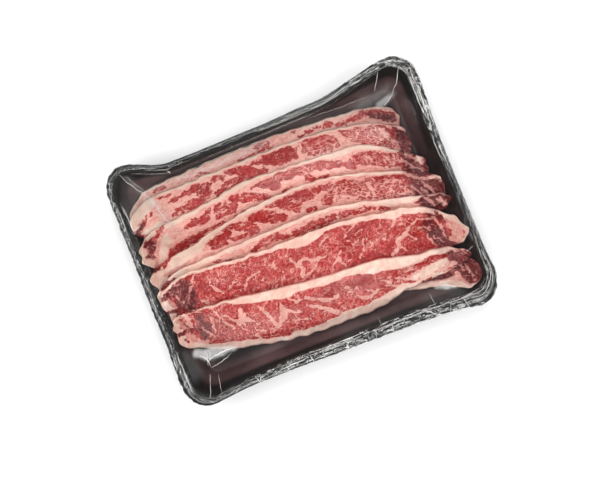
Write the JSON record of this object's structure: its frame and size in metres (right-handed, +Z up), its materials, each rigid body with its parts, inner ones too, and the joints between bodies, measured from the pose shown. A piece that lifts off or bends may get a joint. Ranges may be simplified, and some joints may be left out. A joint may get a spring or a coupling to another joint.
{
  "type": "pack of raw beef barbecue slices",
  "caption": "Black foam tray of overlapping raw marbled beef slices under clear stretch film, with a rim that the film pulls inwards.",
  "frame": {"origin": "centre of the underside of the pack", "axes": "+X along the tray, +Y to the back rim that the film bows inwards most, +Z up through the meat"},
  "size_m": [0.237, 0.1836, 0.0281],
  "materials": {
    "tray_foam": "black expanded foam with a smooth skin",
    "raw_beef": "moist marbled raw meat",
    "stretch_film": "clear glossy stretch film"
  },
  "bodies": {
    "root": {"tray": "tray_foam", "slice_1": "raw_beef", "slice_2": "raw_beef", "slice_3": "raw_beef", "slice_4": "raw_beef", "slice_5": "raw_beef", "slice_6": "raw_beef", "slice_7": "raw_beef", "slice_8": "raw_beef", "film": "stretch_film"}
  },
  "joints": []
}
